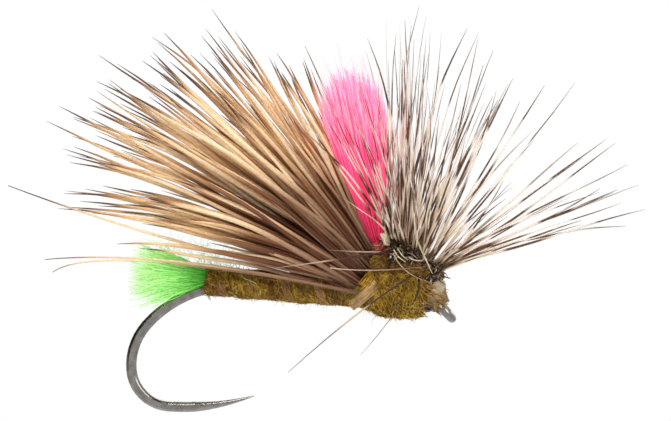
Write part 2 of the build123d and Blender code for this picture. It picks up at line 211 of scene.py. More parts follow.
def add_strands(name, paths, radii, sides, material, slot, *stands_for, **details):
    """Puts closed tubes along the paths in the scene, as one piece."""
    add_piece(name, tube_mesh(name, paths, radii, sides, **details), material, slot, *stands_for)


def add_fibres(name, roots, headings, length, bend, wobble, size, profile, steps, sides, *finish):
    """Grows a fibre from each root. Lengths lie between two values, bends are spread about none."""
    count = len(roots)
    lengths, bends = chance.uniform(*length, count), chance.normal(0, bend, count)
    paths = curling_paths(roots, headings, lengths, bends, steps, wobble)
    add_strands(name, paths, strand_radii(size, count, profile, steps), sides, *finish)


def vertex_table(mesh, what):
    """One row of three numbers for each vertex: its place or its normal."""
    values = np.empty(len(mesh.vertices) * 3, np.float32)
    mesh.vertices.foreach_get(what, values)
    return values.reshape(-1, 3).astype(float)


def felted_mesh(name, node, height, per_mm):
    """The CAD solid's shape as an even mesh with the lumpy surface of felted fur, with lumps of
    that height and about that many to the millimetre."""
    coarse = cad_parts[node].data.copy()
    coarse.transform(Matrix.Scale(1 / MM, 4))
    holder = bpy.data.objects.new(name + "_holder", coarse)
    scene.collection.objects.link(holder)
    even = holder.modifiers.new("even", "REMESH")
    even.mode = "VOXEL"
    even.voxel_size = 0.05
    bpy.context.view_layer.update()
    evaluated = holder.evaluated_get(bpy.context.evaluated_depsgraph_get())
    mesh = bpy.data.meshes.new_from_object(evaluated)
    bpy.data.objects.remove(holder)
    places, normals = vertex_table(mesh, "co"), vertex_table(mesh, "normal")
    lumps = []
    for place in places:
        large = noise.noise(Vector(place) * per_mm)
        small = noise.noise(Vector(place) * per_mm * 2.7)
        lumps.append(large + 0.5 * small)
    places += normals * (np.array(lumps) * height)[:, None]
    mesh.vertices.foreach_set("co", places.astype(np.float32).ravel())
    mesh.transform(Matrix.Scale(MM, 4))
    mesh.shade_smooth()
    return mesh


def surface_points(mesh, count, keep):
    """Points spread over a mesh by area, with their normals, where keep says so."""
    mesh.calc_loop_triangles()
    triangles = np.empty(len(mesh.loop_triangles) * 3, np.int32)
    mesh.loop_triangles.foreach_get("vertices", triangles)
    corners = vertex_table(mesh, "co")[triangles.reshape(-1, 3)] / MM
    spans = np.cross(corners[:, 1] - corners[:, 0], corners[:, 2] - corners[:, 0])
    kept = keep(corners.mean(axis=1), unit(spans))
    corners, spans = corners[kept], spans[kept]
    areas = np.linalg.norm(spans, axis=1)
    picked = chance.choice(len(areas), count, p=areas / areas.sum())
    first, second = np.sqrt(chance.random(count))[:, None], chance.random(count)[:, None]
    a, b, c = (corners[picked, n] for n in range(3))
    return a * (1 - first) + b * first * (1 - second) + c * first * second, unit(spans[picked])


# ---- Finishes ----


def tint(red, green, blue):
    """An sRGB colour, 0 to 255, as the linear colour that a shader takes."""
    linear = [((c / 255 + 0.055) / 1.055) ** 2.4 if c > 10 else c / 255 / 12.92 for c in (red, green, blue)]
    return (*linear, 1.0)


def shades(*rows):
    """The stops of a colour ramp, from (percent, red, green, blue) rows of sRGB colours."""
    return [(percent / 100, tint(*colour)) for percent, *colour in rows]


def grey(level):
    """A linear grey, from 0 for black to 1 for white."""
    return (level, level, level, 1.0)


COMMON_NOISE = (0.3, 0.7)  # most of a noise's values lie between these


def feed(tree, socket, value):
    """Joins another node's output to a socket, or sets the socket's own value."""
    if isinstance(value, bpy.types.NodeSocket):
        tree.links.new(value, socket)
    else:
        socket.default_value = value


def new_node(tree, kind, **values):
    """A new shader node with its sockets fed. Spaces in their names are written as underscores."""
    node = tree.nodes.new("ShaderNode" + kind)
    for name, value in values.items():
        feed(tree, node.inputs[name.replace("_", " ")], value)
    return node


class Finish:
    """A procedural material while its nodes are being joined."""

    def __init__(self, name):
        self.material = bpy.data.materials.new(name)
        self.material.use_nodes = True
        self.tree = self.material.node_tree
        self.tree.nodes.clear()
        self.shader = self.add("BsdfPrincipled")
        self.add("OutputMaterial", Surface=self.shader.outputs["BSDF"])

    def add(self, kind, **values):
        return new_node(self.tree, kind, **values)

    def attribute(self, name):
        node = self.add("Attribute")
        node.attribute_name = name
        return node.outputs["Fac"]

    def sums(self, operation, *values):
        node = self.add("Math")
        node.operation = operation
        for socket, value in zip(node.inputs, values):
            feed(self.tree, socket, value)
        return node.outputs[0]

    def speckle(self, per_mm, detail=2.0):
        """Noise with that many grains to the millimetre, and that much finer detail."""
        place = self.add("TexCoord").outputs["Object"]
        return self.add("TexNoise", Vector=place, Scale=per_mm / MM, Detail=detail).outputs["Fac"]

    def ramp(self, factor, stops):
        """Colours or greys by (place, colour) stops."""
        node = self.add("ValToRGB", Fac=factor)
        elements = node.color_ramp.elements
        while len(elements) < len(stops):
            elements.new(0.5)
        for element, (place, colour) in zip(elements, stops):
            element.position = place
            element.color = colour
        return node.outputs["Color"]

    def levels(self, factor, low, high, start=0.0, end=1.0):
        """Maps a factor's range from start to end onto low to high."""
        limits = {"From_Min": start, "From_Max": end, "To_Min": low, "To_Max": high}
        return self.add("MapRange", Value=factor, **limits).outputs["Result"]

    def mixed(self, factor, first, second, blend="MIX"):
        node = self.add("Mix", Factor=factor)
        node.data_type = "RGBA"
        node.blend_type = blend
        first_colour, second_colour, result = 6, 7, 2  # the node's colour sockets, by number
        feed(self.tree, node.inputs[first_colour], first)
        feed(self.tree, node.inputs[second_colour], second)
        return node.outputs[result]

    def bumped(self, height, depth):
        """Raises the surface by up to that many millimetres."""
        node = self.add("Bump", Strength=1.0, Distance=depth * MM, Height=height)
        self.shaded(Normal=node.outputs["Normal"])

    def shaded(self, **values):
        """Sets the shader's sockets, with spaces written as underscores."""
        for socket, value in values.items():
            feed(self.tree, self.shader.inputs[socket.replace("_", " ")], value)
        return self.material


def strand_finish(
    name, stops, drift=0.10, mottle=0.25, others=None, share=0.4, gloss=0.5, patches=None, painted_glow=0.0
):
    """A finish for hair and yarn: colours along each strand, which drift from strand to strand.
    Other stops, if given, colour that share of the strands. Patches, if given, are the colour of
    larger patches that lie over many strands. Painted glow is an emission: painted light that stands in for
    the brightness of fluorescent yarn."""
    finish = Finish(name)
    tone = finish.attribute("tone")
    shift = finish.sums("MULTIPLY_ADD", tone, drift, -drift / 2)
    place = finish.sums("ADD", finish.attribute("along"), shift)
    colour = finish.ramp(place, stops)
    if others:
        soft_edge = 0.06
        chosen = finish.levels(tone, 1.0, 0.0, share - soft_edge, share + soft_edge)
        colour = finish.mixed(chosen, colour, finish.ramp(place, others))
    if patches:
        strength = finish.levels(finish.speckle(per_mm=0.9, detail=3.0), 0, 0.85, 0.50, 0.66)
        colour = finish.mixed(strength, colour, patches)
    grain = finish.speckle(per_mm=6.0, detail=3.0)
    shading = finish.levels(grain, 1 - mottle, 1 + mottle, *COMMON_NOISE)
    own_number = finish.sums("FRACT", finish.sums("MULTIPLY", tone, 7.31))
    lightness = finish.levels(own_number, 0.84, 1.1)  # from the darkest strand to the lightest
    brightness = finish.sums("MULTIPLY", shading, lightness)
    colour = finish.mixed(1.0, colour, brightness, "MULTIPLY")
    finish.bumped(finish.speckle(per_mm=22.0), depth=0.006)
    roughness = finish.levels(grain, gloss - 0.1, gloss + 0.15, *COMMON_NOISE)
    # the yarn glows with painted light, an emission that stands in for its fluorescent brightness
    if painted_glow:
        finish.shaded(Emission_Color=colour, Emission_Strength=painted_glow)
    return finish.shaded(Base_Color=colour, Roughness=roughness, Specular_IOR_Level=0.35)


def dark_further_out(stops, shift):
    """The same colours, with the dark root reaching further along the hair."""
    return [(place + 4 * shift * place * (1 - place), colour) for place, colour in stops]


GRIZZLY = shades(
    (0, 160, 126, 96), (8, 226, 198, 168), (28, 244, 226, 204), (60, 238, 224, 208),
    (85, 240, 230, 218),
)


def grizzly_finish():
    """Barbs of a barred feather: cream with dark bars, a warm root and a dark tip."""
    finish = Finish("grizzly_barb")
    along, tone = finish.attribute("along"), finish.attribute("tone")
    ground = finish.ramp(along, GRIZZLY)
    bars_in_barb, bars_shift = 2.3, 5.7
    shift = finish.sums("MULTIPLY", tone, bars_shift)
    bars = finish.sums("FRACT", finish.sums("MULTIPLY_ADD", along, bars_in_barb, shift))
    barred = finish.ramp(
        bars, [(0.0, grey(0)), (0.12, grey(0)), (0.20, grey(1)), (0.54, grey(1)), (0.70, grey(0))]
    )
    tip = finish.levels(along, 0.0, 0.9, 0.70, 0.86)
    unbarred_share = (0.06, 0.16)  # of the barbs, with a soft edge between the two
    barring = finish.levels(tone, 0.35, 1.0, *unbarred_share)
    dark_share = finish.sums("MULTIPLY", finish.sums("MAXIMUM", barred, tip), barring)
    dark = finish.ramp(finish.speckle(per_mm=5.0), shades((30, 58, 36, 22), (70, 120, 84, 58)))
    colour = finish.mixed(dark_share, ground, dark)
    finish.bumped(finish.speckle(per_mm=7.0), depth=0.003)
    roughness = finish.levels(finish.speckle(per_mm=8.0), 0.45, 0.65, *COMMON_NOISE)
    return finish.shaded(Base_Color=colour, Roughness=roughness, Specular_IOR_Level=0.4)


def fur_finish(name, stops, per_mm):
    """A matted ground of fur under the laid fibres."""
    finish = Finish(name)
    colour = finish.ramp(finish.speckle(per_mm, detail=5.0), stops)
    finish.bumped(finish.speckle(per_mm=14.0, detail=4.0), depth=0.05)
    roughness = finish.levels(finish.speckle(per_mm=9.0), 0.75, 0.95, *COMMON_NOISE)
    return finish.shaded(Base_Color=colour, Roughness=roughness, Sheen_Weight=0.3)


def core_finish(name, dark, light):
    """A plain finish in two sRGB colours, for pieces that fur and feather all but hide."""
    return fur_finish(name, shades((30, *dark), (70, *light)), per_mm=7.0)


def collar_finish():
    """Pale wraps that are darker brown towards the bottom."""
    finish = Finish("collar_thread")
    height = finish.add("SeparateXYZ", Vector=finish.add("TexCoord").outputs["Object"])
    uneven = finish.sums("MULTIPLY", finish.speckle(per_mm=2.5, detail=3.0), 0.5 * MM)
    # the wraps are brown below the first height and pale above the second, blending in between
    brown_below, pale_above = 0.55 * MM, 1.25 * MM
    edge = finish.sums("ADD", height.outputs["Z"], uneven)
    colour = finish.ramp(
        finish.levels(edge, 0, 1, brown_below, pale_above),
        shades((0, 104, 76, 48), (35, 132, 106, 76), (60, 168, 150, 118), (100, 190, 176, 146)),
    )
    grain = finish.speckle(per_mm=9.0, detail=3.0)
    shade = finish.ramp(grain, [(0.3, grey(0.62)), (0.65, grey(1))])
    finish.bumped(finish.speckle(per_mm=20.0), depth=0.008)
    roughness = finish.levels(grain, 0.5, 0.75, *COMMON_NOISE)
    return finish.shaded(Base_Color=finish.mixed(1.0, colour, shade, "MULTIPLY"), Roughness=roughness)


def metal_finish():
    """Black nickel on a forged wire, with fine pits."""
    finish = Finish("black_nickel")
    clouds = finish.speckle(per_mm=3.0, detail=4.0)
    colour = finish.ramp(clouds, shades((35, 122, 118, 114), (65, 146, 142, 137)))
    pits = finish.speckle(per_mm=12.0)
    finish.bumped(pits, depth=0.0016)
    roughness = finish.levels(pits, 0.16, 0.34, 0.35, 0.65)
    return finish.shaded(Base_Color=colour, Metallic=1.0, Roughness=roughness)


def paint_node(node, material):
    """Gives a CAD node that stays in view its material."""
    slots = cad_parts[node].material_slots
    if not slots:
        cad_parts[node].data.materials.append(material)
    for slot in slots:
        slot.material = material


OLIVE = shades((0, 124, 88, 8), (50, 170, 131, 22), (100, 206, 172, 58))
BROWN = shades((0, 90, 50, 6), (50, 138, 86, 14), (100, 184, 132, 46))
DARK_PATCH = tint(88, 48, 12)
DEER = shades(
    (0, 108, 74, 52), (14, 142, 104, 76), (34, 170, 131, 98), (45, 228, 192, 150),
    (64, 254, 226, 184), (82, 238, 198, 152), (92, 116, 82, 60), (100, 54, 45, 42),
)
DEER_DARK = shades(
    (0, 84, 44, 22), (26, 106, 60, 34), (42, 142, 94, 58), (54, 214, 172, 128), (70, 240, 202, 152),
    (83, 184, 134, 92), (91, 76, 54, 44), (100, 42, 35, 34),
)
PINK = shades(
    (0, 146, 18, 40), (20, 192, 42, 74), (42, 246, 66, 122), (76, 255, 94, 150),
    (100, 255, 150, 190),
)
GREEN = shades(
    (0, 58, 136, 36), (22, 94, 184, 66), (50, 146, 222, 110), (100, 204, 246, 172),
)
OLIVE_GROUND = shades(
    (30, 74, 44, 10), (45, 118, 84, 18), (62, 144, 110, 28), (75, 166, 132, 44),
)
STRAY_BARB = shades(
    (0, 52, 30, 18), (36, 66, 40, 24), (43, 200, 172, 142), (56, 196, 170, 146),
    (66, 134, 112, 100), (86, 92, 78, 74), (100, 60, 50, 48),
)
CROSSING_HAIR = shades(
    (0, 52, 30, 20), (45, 70, 42, 28), (60, 186, 160, 134), (100, 170, 142, 116),
)

metal = metal_finish()
deer_hair = strand_finish("deer_hair", DEER, drift=0.14, mottle=0.12, others=DEER_DARK, share=0.36)
low_hair = strand_finish(
    "low_hair", dark_further_out(DEER, 0.11), drift=0.14, mottle=0.12,
    others=dark_further_out(DEER_DARK, 0.13), share=0.64,
)
body_hair = strand_finish(
    "dubbed_fur", OLIVE, drift=0.9, mottle=0.36, others=BROWN, share=0.30, gloss=0.75, patches=DARK_PATCH
)
pale_fur = strand_finish(
    "pale_fur", shades((0, 152, 122, 48), (50, 192, 164, 88), (100, 222, 202, 148)),
    drift=0.9, mottle=0.2, others=OLIVE, share=0.35, gloss=0.7,
)
# the pink yarn gets a painted glow, an emission standing in for its fluorescence
pink_yarn = strand_finish(
    "pink_yarn", PINK, drift=0.30, mottle=0.10, painted_glow=0.34, share=0.16,
    others=shades((0, 226, 60, 110), (40, 255, 120, 170), (100, 255, 214, 228)),
)
# the green yarn gets a painted glow, an emission standing in for its fluorescence
green_yarn = strand_finish("green_yarn", GREEN, drift=0.25, mottle=0.10, gloss=0.6, painted_glow=0.22)
dusky_thread = strand_finish(
    "dusky_thread", shades((0, 128, 86, 50), (50, 150, 108, 68), (100, 172, 132, 88)),
    drift=0.6, mottle=0.2, gloss=0.6,
)
band_thread = strand_finish(
    "band_thread", shades((0, 168, 132, 78), (50, 200, 164, 112), (100, 222, 192, 144)),
    drift=0.6, gloss=0.6,
)
collar_thread = collar_finish()
head_thread = strand_finish(
    "head_thread", shades((0, 84, 58, 36), (50, 112, 84, 58), (100, 134, 106, 80)),
    drift=0.6, mottle=0.3,
)
crimson_fur = strand_finish(
    "crimson_fur", shades((0, 110, 26, 30), (50, 168, 52, 60), (100, 196, 104, 84)),
    drift=0.9, others=BROWN, share=0.3, gloss=0.75,
)
crown_fur = strand_finish(
    "crown_fur", shades((0, 74, 50, 18), (50, 120, 88, 34), (100, 160, 126, 56)),
    drift=0.9, mottle=0.3, others=BROWN, share=0.3, gloss=0.75,
)
drape_fur = strand_finish(
    "drape_fur", shades((0, 118, 88, 36), (50, 156, 122, 64), (100, 190, 158, 104)),
    drift=0.9, mottle=0.3, others=BROWN, share=0.25, gloss=0.7,
)
grizzly = grizzly_finish()
quill_finish = strand_finish("quill", shades((0, 96, 74, 54), (50, 60, 44, 32), (100, 120, 96, 74)))
dark_down = strand_finish(
    "dark_down", shades((0, 30, 20, 14), (60, 58, 40, 26), (100, 96, 70, 48)), drift=0.4,
    mottle=0.3, others=shades((0, 158, 128, 96), (100, 244, 226, 196)), share=0.30, gloss=0.6,
)
cream_stem = strand_finish(
    "cream_stem", shades((0, 214, 196, 160), (100, 240, 228, 200)), drift=0.3, mottle=0.2
)
stray_barb = strand_finish("stray_barb", STRAY_BARB, drift=0.0, mottle=0.1)
pale_barb = strand_finish(
    "pale_barb", shades((0, 196, 172, 146), (100, 150, 126, 104)), drift=0.2, mottle=0.15
)
crossing_hair = strand_finish("crossing_hair", CROSSING_HAIR, drift=0.0, mottle=0.1)
olive_ground = fur_finish("olive_ground", OLIVE_GROUND, per_mm=1.6)


# ---- Anchors, read from the CAD boxes ----

body_height = spot("abdomen_dubbing", 0.5, 0.5, 0.5)[2]
loop_rear = spot("hackle_loop", 0, 0.5, 1)
loop_front = spot("hackle_loop", 1, 0.5, 0)
post_foot = spot("post_base_thread", 0.35, 0.5, 0.9)
wing_low = spot("thorax_dubbing", 0, 0.5, 0.35)
wing_high = spot("post_base_thread", 0.05, 0.5, 0.45)


# ---- Hook and the pieces wound on it that the fur hides ----

paint_node("hook", metal)
for node in ("thread_underbody", "butt_tie_thread"):
    paint_node(node, core_finish(node + "_finish", (96, 72, 44), (132, 104, 70)))
paint_node("post_base_thread", core_finish("post_wraps", (120, 30, 34), (170, 60, 56)))
paint_node("hackle_loop", core_finish("loop_yarn", (40, 28, 22), (88, 64, 46)))
paint_node("wing_butts", core_finish("hair_butts", (110, 84, 58), (168, 140, 108)))
paint_node("head_thread", core_finish("head_core", (84, 58, 36), (124, 96, 68)))


# ---- Dubbed fur of the abdomen and thorax ----

FUR_STEPS = 7


def laid_fibres(name, mesh, count, length, size, lift, stray_turn, body_radius, keep, *stands_for):
    """Fibres that lie round a body, as fur does once it is dubbed and wound on."""
    points, normals = surface_points(mesh, count, keep)
    around = unit(np.cross(AHEAD, normals))
    beside = np.cross(normals, around)
    slant = 0.35  # radians
    turn = chance.normal(slant, stray_turn, count)
    tangents = turned(turn, around, beside)
    half = chance.uniform(*length, count)[:, None] / 2
    reach = half * np.linspace(-1, 1, FUR_STEPS)
    drop = reach**2 / (2 * body_radius) * np.cos(turn)[:, None] ** 2
    sunk, loose_end = -0.02, 0.08
    raised = chance.uniform(sunk, lift, (count, 1))
    raised = raised + chance.uniform(0, loose_end, (count, 1)) * (reach / half) ** 4
    waves, phase = chance.uniform(4, 9, (count, 1)), chance.uniform(0, 6, (count, 1))
    swing = 0.04 * np.sin(reach * waves + phase)
    sideways = np.cross(normals, tangents)
    paths = points[:, None] + tangents[:, None] * reach[..., None]
    paths += normals[:, None] * (raised - drop)[..., None] + sideways[:, None] * swing[..., None]
    radii = strand_radii(size, count, LAID, FUR_STEPS)
    add_strands(name, paths, radii, 4, body_hair, "olive_dubbing", *stands_for)


def loose_fibres(name, mesh, count, length, size, bends, keep):
    """Curled fibres that stand off a body."""
    points, normals = surface_points(mesh, count, keep)
    around = unit(np.cross(AHEAD, normals))
    out = normals * chance.uniform(0.05, 0.7, (count, 1)) + around * chance.normal(0, 1.0, (count, 1))
    out = unit(out + AHEAD * chance.normal(0, 0.8, (count, 1)))
    lengths, bends = chance.uniform(*length, count), chance.uniform(*bends, count)
    steps = 9
    paths = curling_paths(points - 0.03 * normals, out, lengths, bends, steps, 0.5)
    radii = strand_radii(size, count, LOOSE, steps)
    add_strands(name, paths, radii, 4, pale_fur, "olive_dubbing")


def outer_skin(axis_height, least):
    """A test that keeps a body's outer skin: not its cavity, and not its flat rear end."""

    def keep(points, normals):
        radial = points * (0, 1, 1) - (0, 0, axis_height)
        return np.sum(radial * normals, axis=1) > least

    return keep


def drawn_in(mesh):
    """Draws the thorax in behind the slanting band that binds the wing hair."""
    places = vertex_table(mesh, "co") / MM
    ahead = (places - band_centre) @ band_axis
    narrow_until, run_out, narrow_share = 0.10, 0.35, 0.74
    share = np.clip((ahead - narrow_until) / run_out, 0, 1)[:, None]
    core = places * (1, 0, 0) + body_line
    places = core + (places - core) * between(narrow_share, 1.0, share)
    mesh.vertices.foreach_set("co", (places * MM).astype(np.float32).ravel())


body_line = np.array((0.0, 0.0, body_height))
band_axis = tilted(-45)
band_centre = spot("wing_tie_thread", 0.5, 0.5, 0.5)
abdomen = felted_mesh("abdomen_ground", "abdomen_dubbing", height=0.055, per_mm=1.3)
thorax = felted_mesh("thorax_ground", "thorax_dubbing", height=0.05, per_mm=1.8)
drawn_in(thorax)
on_abdomen = outer_skin(body_height, 0.15)
on_thorax = outer_skin(body_height + 0.3, 0.25)
laid_fibres(
    "abdomen_fur", abdomen, 2600, (0.5, 1.1), (0.010, 0.017), 0.06, 0.5, 0.62, on_abdomen, "abdomen_dubbing"
)
loose_fibres("abdomen_loose_fur", abdomen, 300, (0.3, 0.8), (0.006, 0.010), (40, 200), on_abdomen)
laid_fibres(
    "thorax_fur", thorax, 2600, (0.5, 1.2), (0.011, 0.019), 0.09, 0.6, 0.85, on_thorax, "thorax_dubbing"
)
loose_fibres("thorax_loose_fur", thorax, 340, (0.3, 0.9), (0.006, 0.011), (40, 190), on_thorax)
add_piece("abdomen_ground", abdomen, olive_ground, "olive_dubbing", "abdomen_dubbing")
add_piece("thorax_ground", thorax, olive_ground, "olive_dubbing", "thorax_dubbing")


# ---- Rib and wing band, flat bands of fine strands ----

rib_low, rib_high = spot("rib_thread", 0, 0, 0), spot("rib_thread", 1, 1, 1)
rib_turns, rib_steps, rib_strands = 3.53, 150, 13
rib_half_width = 0.17
angles = np.linspace(0, FULL_TURN * rib_turns, rib_steps)
run = np.linspace(rib_low[0] + rib_half_width, rib_high[0] - rib_half_width, rib_steps)
body_radius = between(0.61, 0.68, (run - run[0]) / (run[-1] - run[0]))
paths = []
for strand in range(rib_strands):
    across = between(-rib_half_width, rib_half_width, strand / (rib_strands - 1))
    ripple = 0.012 * np.sin(angles * 3.1 + strand * 1.7) + 0.010 * np.sin(angles * 7.3 + strand)
    place, radius = run + across + ripple, body_radius + ripple
    paths.append(wound_path(body_line, AHEAD, -LEFT, angles, place, radius))
add_strands(
    "rib_thread_strands", np.array(paths), 0.019, 5, dusky_thread, "rib_thread", "rib_thread",
    reference=AHEAD,
)


BAND_STEPS = 60
OVERLAP = 1.01  # a closed turn runs on a little past its start


def band_paths(centre, axis, radius, half_width, strands, flat_top=1.0):
    """Closed turns side by side, all round an axis."""
    paths = []
    for strand in range(strands):
        across = between(-half_width, half_width, strand / (strands - 1))
        angles = np.linspace(0, FULL_TURN * OVERLAP, BAND_STEPS)
        ripple = 0.012 * np.sin(angles * 3 + strand * 1.7)
        stretch = radius * (1 + (flat_top - 1) * np.cos(angles) ** 2) + ripple
        paths.append(wound_path(centre, axis, UP, angles, across + 0.5 * ripple, stretch))
    return np.array(paths)


paths = band_paths(band_centre, band_axis, radius=0.86, half_width=0.22, strands=15, flat_top=1.10)
add_strands(
    "wing_tie_strands", paths, 0.021, 5, band_thread, "rib_thread", "wing_tie_thread",
    reference=band_axis,
)

# a roll of fur between the band and the roots of the wing hair
count = 560
start = chance.uniform(0, FULL_TURN, (count, 1))
angles = start + np.radians(chance.uniform(25, 60, (count, 1))) * np.linspace(0, 1, FUR_STEPS)
across = chance.uniform(-0.66, -0.22, (count, 1)) + 0.05 * np.sin(3 * angles)
stretch = (0.74 + chance.uniform(0, 0.12, (count, 1))) * (1 + 0.16 * np.cos(angles) ** 2)
ring = turned(angles, np.cross(band_axis, -LEFT), LEFT)
paths = band_centre + band_axis * across[..., None] + ring * stretch[..., None]
radii = strand_radii((0.011, 0.019), count, SPINDLE, FUR_STEPS)
add_strands("wing_root_fur", paths, radii, 4, body_hair, "olive_dubbing")


def matted_fur(name, centre, half_size, count, material, slot="olive_dubbing"):
    """Short fibres laid every way over an egg-shaped lump."""
    normals = any_direction(count)
    points = centre + normals * np.array(half_size)
    tangents = unit(np.cross(normals, any_direction(count) + UP))
    reach = chance.uniform(0.12, 0.34, (count, 1)) * np.linspace(-1, 1, FUR_STEPS)
    lift = chance.uniform(-0.08, 0.05, (count, 1)) - reach**2
    paths = points[:, None] + tangents[:, None] * reach[..., None] + normals[:, None] * lift[..., None]
    radii = strand_radii((0.012, 0.024), count, SPINDLE, FUR_STEPS)
    add_strands(name, paths, radii, 4, material, slot)


# crimson fur lies at the foot of the post, and darker fur lies below the hackle
foot_centre = spot("post_base_thread", 0.5, 0.5, 0.35)
matted_fur("post_foot_fur", foot_centre, (0.42, 0.50, 0.36), 900, crimson_fur)
matted_fur("thorax_shoulder_fur", foot_centre - 0.72 * UP, (0.52, 0.66, 0.62), 1300, crown_fur)
matted_fur("abdomen_rear_fur", spot("abdomen_dubbing", 0.045, 0.5, 0.5), (0.40, 0.54, 0.53), 900, body_hair)
crown_centre = (foot_centre + loop_front) / 2
matted_fur("thorax_crown_fur", crown_centre - 0.38 * UP, (1.10, 0.72, 0.42), 1500, crown_fur)


# ---- Green butt tuft ----

tuft_front = spot("butt_tuft", 1, 0.5, 0.5)[0]

# the yarn is bound at its front end and flares from there, up at its top and down at its bottom
count = 640
height = chance.uniform(-1, 1, count)
width = chance.uniform(-1, 1, count) * np.sqrt(1 - 0.7 * height**2)
root_heights = body_height + 0.16 + 0.34 * height
roots = np.stack((np.full(count, tuft_front + 0.25), 0.40 * width, root_heights), axis=1)
elevations = 179.75 - 8.25 * height + chance.normal(0, 3.5, count)
headings = heading(elevations, 24 * width + chance.normal(0, 4, count))
add_fibres(
    "butt_tuft_fibres", roots, headings, (2.4, 3.75), 14, 0.22, (0.014, 0.026), TUFT_YARN, 10, 5,
    green_yarn, "green_yarn", "butt_tuft",
)

# curled wisps stand off its upper side
count = 92
along_body = chance.uniform(tuft_front - 1.5, tuft_front + 1.8, count)
sideways = chance.uniform(-0.35, 0.35, count)
root_heights = body_height + chance.uniform(0.35, 0.62, count)
roots = np.stack((along_body, sideways, root_heights), axis=1)
headings = heading(chance.uniform(70, 175, count), chance.uniform(-30, 30, count))
lengths, bends = chance.uniform(0.9, 2.4, count), chance.uniform(-150, 150, count)
steps = 14
paths = curling_paths(roots, headings, lengths, bends, steps, 0.7)
radii = 0.008 * taper(WISP, steps)
tones = chance.uniform(0.4, 1, count)
add_strands("butt_tuft_wisps", paths, radii, 4, green_yarn, "green_yarn", tones=tones)


# ---- Deer hair wing ----

LOWEST_HAIR, HIGHEST_HAIR = 168.0, 115.5  # degrees from +X, at the fan's two edges
# full lengths and bends, by the share of the way from the fan's lowest hair to its highest
FAN_LENGTHS = ([0, 0.12, 0.25, 0.5, 0.72, 0.84, 1.0], [13.6, 15.4, 16.2, 15.2, 13.7, 11.6, 9.0])
FAN_BENDS = ([0, 0.3, 0.6, 1], [23, 16, 10, 6])


def add_hairs(name, roots, elevations, sides, lengths, bends, size, material, node):
    """Wing hairs, which swell from their roots and end in fine tips."""
    count = len(lengths)
    headings = heading(elevations - bends / 2, sides)
    steps = 14
    paths = curling_paths(roots, headings, lengths, bends, steps, 0.05, -LEFT)
    radii = strand_radii(size, count, DEER_HAIR, steps)
    add_strands(name, paths, radii, 7, material, "deer_hair", node)


def fan_hairs(node, level, shares, count, material):
    """One part of the wing's fan, between two shares of the way from its lowest to its highest
    hair. Groups of about four hairs lean towards each other, as locks."""
    locks = count // 4
    lock = chance.integers(0, locks, count)
    lock_share = chance.uniform(*shares, locks)[lock]
    share = between(chance.uniform(*shares, count), lock_share, 0.5)
    side_share = between(chance.uniform(-1, 1, count), chance.uniform(-1, 1, locks)[lock], 0.4)
    up = np.clip(share + chance.normal(0, 0.09, count), 0.0, 1.05)
    roots = between(wing_low, wing_high, up[:, None])
    roots[:, 1] = 0.72 * side_share
    roots[:, 0] += 0.10
    elevations = between(LOWEST_HAIR, HIGHEST_HAIR, share) + chance.normal(0, 2.2, count)
    long_ones = chance.random(count) < 0.3
    length_share = np.where(long_ones, chance.uniform(0.9, 1.0, count), chance.uniform(0.62, 0.9, count))
    lengths = np.interp(share, *FAN_LENGTHS) * length_share
    bends = np.interp(share, *FAN_BENDS) + chance.normal(0, 6, count)
    size = (0.084, 0.118) if shares[0] < 0.6 else (0.066, 0.098)
    name = node + "_" + level
    add_hairs(name, roots, elevations, 24 * side_share, lengths, bends, size, material, node)


for details in (
    ("wing_hair_rear", "lower", (0.0, 0.16), 30, low_hair),
    ("wing_hair_rear", "higher", (0.16, 0.33), 34, low_hair),
    ("wing_hair_middle", "lower", (0.33, 0.50), 34, deer_hair),
    ("wing_hair_middle", "higher", (0.50, 0.66), 32, deer_hair),
    ("wing_hair_upper", "lower", (0.66, 0.82), 30, deer_hair),
    ("wing_hair_upper", "higher", (0.82, 1.0), 20, deer_hair),
):
    fan_hairs(*details)

count = 12
for side, flank in ((-1, "wing_hair_flank_right"), (1, "wing_hair_flank_left")):
    roots = between(wing_low, wing_high, chance.uniform(0.0, 0.35, (count, 1)))
    roots[:, 1] = side * chance.uniform(0.62, 0.86, count)
    elevations = chance.uniform(159, 166, count)
    sides = side * chance.uniform(1, 9, count)
    lengths = chance.uniform(7.0, 11.0, count)
    bends = chance.normal(18, 5, count)
    add_hairs(flank + "_strands", roots, elevations, sides, lengths, bends, (0.075, 0.10), low_hair, flank)


# ---- Pink post ----

post_span = np.array((-2.05, 0.0, 7.75))
post_heading = unit(post_span)
post_length = np.linalg.norm(post_span)
post_side = np.cross(LEFT, post_heading)
post_foot_radius, post_flare = 0.20, 1.30


def post_fibres(name, count, ring, ragged, wobble, size, tone_range, *nodes):
    """Yarn fibres of the post, between two shares of its radius."""
    around = chance.uniform(0, FULL_TURN, count)
    out = np.sqrt(chance.uniform(ring[0] ** 2, ring[1] ** 2, count))
    radial = turned(around, 0.9 * LEFT, post_side)
    roots = post_foot + radial * (post_foot_radius * out)[:, None] - post_heading * 0.15
    lengths = post_length * chance.uniform(*ragged, count) * (1 - 0.20 * out**2)  # domed on top
    steps = 14
    grown = np.linspace(0, 1, steps)
    flare = (post_flare * grown**0.80)[None, :, None]
    phase = chance.uniform(0, FULL_TURN, (count, 1))
    sway = wobble * np.sin(grown * chance.uniform(3, 9, (count, 1)) + phase) * grown
    paths = roots[:, None] + post_heading * (lengths[:, None] * grown)[..., None]
    paths = paths + radial[:, None] * (flare * out[:, None, None]) + radial[:, None] * sway[..., None]
    paths += np.cross(post_heading, radial)[:, None] * (sway * 0.7)[..., None]
    radii = strand_radii(size, count, POST_YARN, steps)
    tones = chance.uniform(*tone_range, count)
    add_strands(name, paths, radii, 5, pink_yarn, "pink_yarn", *nodes, tones=tones)


